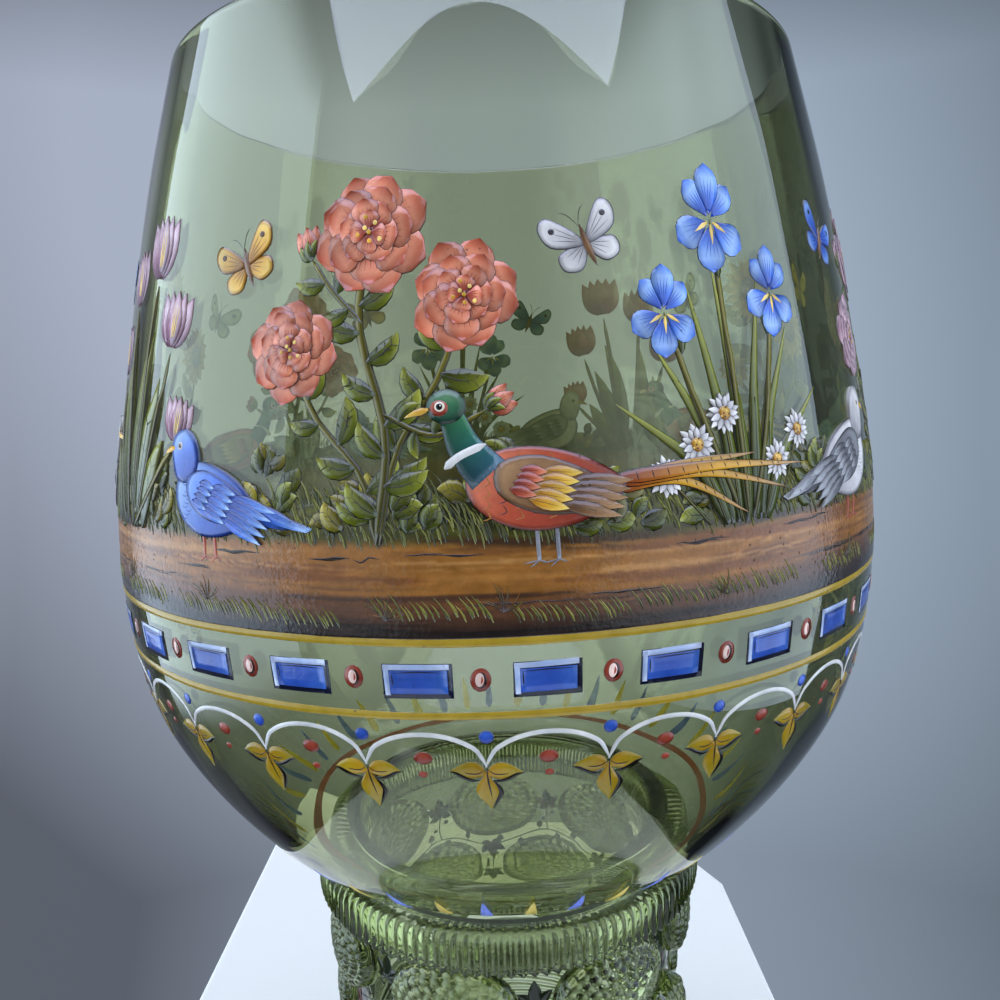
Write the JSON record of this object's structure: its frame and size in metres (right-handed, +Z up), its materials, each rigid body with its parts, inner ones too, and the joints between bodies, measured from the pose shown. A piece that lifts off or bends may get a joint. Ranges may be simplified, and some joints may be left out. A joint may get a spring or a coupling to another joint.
{
  "type": "goblet",
  "caption": "Large roemer-form wine goblet: a blown ovoid bowl on a hollow stem set with raspberry prunts, over a hollow spreading foot.",
  "frame": {"origin": "centre of the ring that the foot rests on, in the plane of the table", "axes": "+Z up along the goblet's axis; -Y towards the viewer of the picture, +X to that viewer's right"},
  "size_m": [0.1502, 0.1502, 0.2557],
  "materials": {
    "bowl_glass": "clear smoky green blown glass, fire polished",
    "stem_glass": "clear smoky green blown glass",
    "trail_glass": "trailed green glass, milled while hot",
    "prunt_glass": "pressed green glass",
    "foot_glass": "clear smoky green blown glass, ridged",
    "enamel": "fired glass enamel, opaque, slightly raised"
  },
  "bodies": {
    "root": {"bowl": "bowl_glass", "stem": "stem_glass", "upper_collar": "trail_glass", "lower_ring": "trail_glass", "foot": "foot_glass", "prunt_01": "prunt_glass", "prunt_02": "prunt_glass", "prunt_03": "prunt_glass", "prunt_04": "prunt_glass", "prunt_05": "prunt_glass", "prunt_06": "prunt_glass", "prunt_07": "prunt_glass", "prunt_08": "prunt_glass", "prunt_09": "prunt_glass", "prunt_10": "prunt_glass", "prunt_11": "prunt_glass", "prunt_12": "prunt_glass", "prunt_13": "prunt_glass", "prunt_14": "prunt_glass"}
  },
  "joints": []
}
